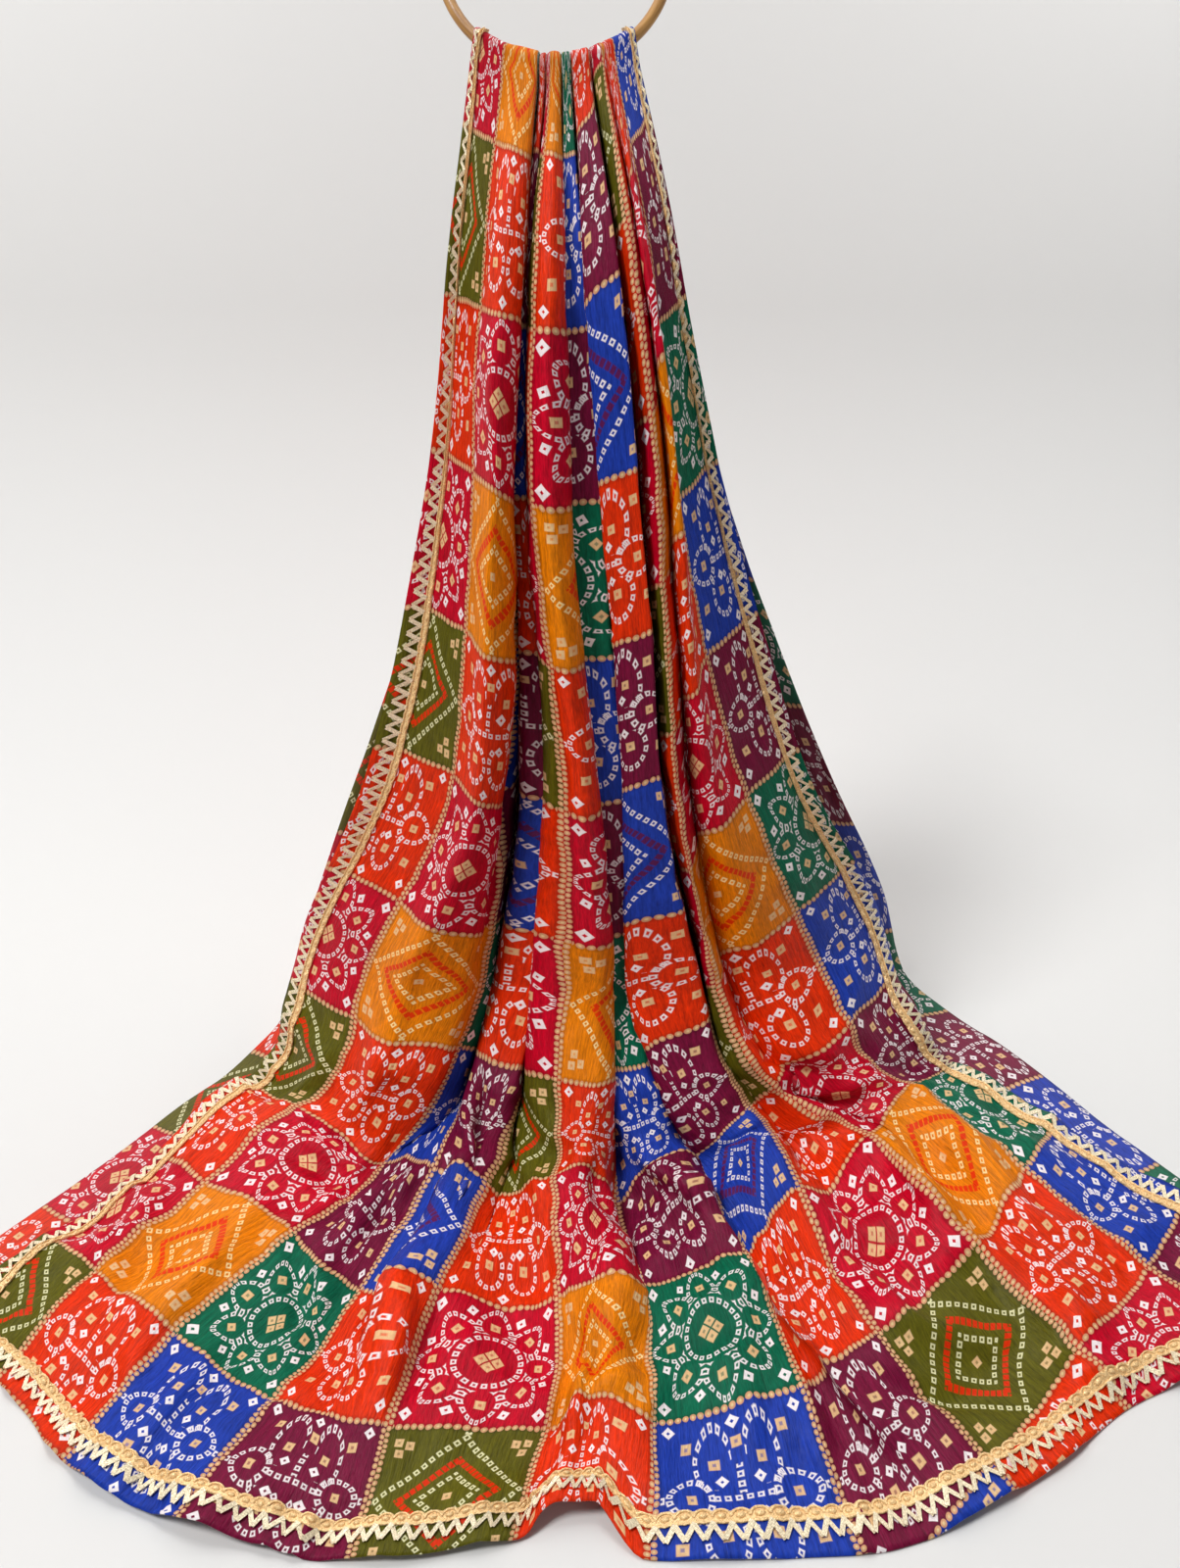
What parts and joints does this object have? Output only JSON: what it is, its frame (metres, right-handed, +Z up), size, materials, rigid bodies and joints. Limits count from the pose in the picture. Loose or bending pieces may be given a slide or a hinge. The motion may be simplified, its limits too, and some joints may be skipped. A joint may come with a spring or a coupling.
{
  "type": "bandhani dupatta on a wooden ring",
  "caption": "Tie-dyed patchwork dupatta with gold lace edges, folded through a round wooden ring, hanging in pleats and fanning out on the floor.",
  "frame": {"origin": "the point under the top of the wooden ring where a hook carries it", "axes": "+Z up, -Y towards the viewer, the way the front half fans out, +X to the viewer's right"},
  "size_m": [0.834, 0.4946, 0.788],
  "materials": {
    "dyed_crepe": "silky crinkle crepe, tie-dyed in squares of red, orange, yellow, green, blue, wine and olive with small undyed dots",
    "gold_lace": "metallic gold gota ribbon and braid, soft glitter",
    "ring_wood": "light wood, satin"
  },
  "bodies": {
    "root": {"cloth": "dyed_crepe", "lace_edge_left": "gold_lace", "lace_edge_right": "gold_lace", "lace_hem_front": "gold_lace", "lace_hem_back": "gold_lace", "ring": "ring_wood"}
  },
  "joints": []
}
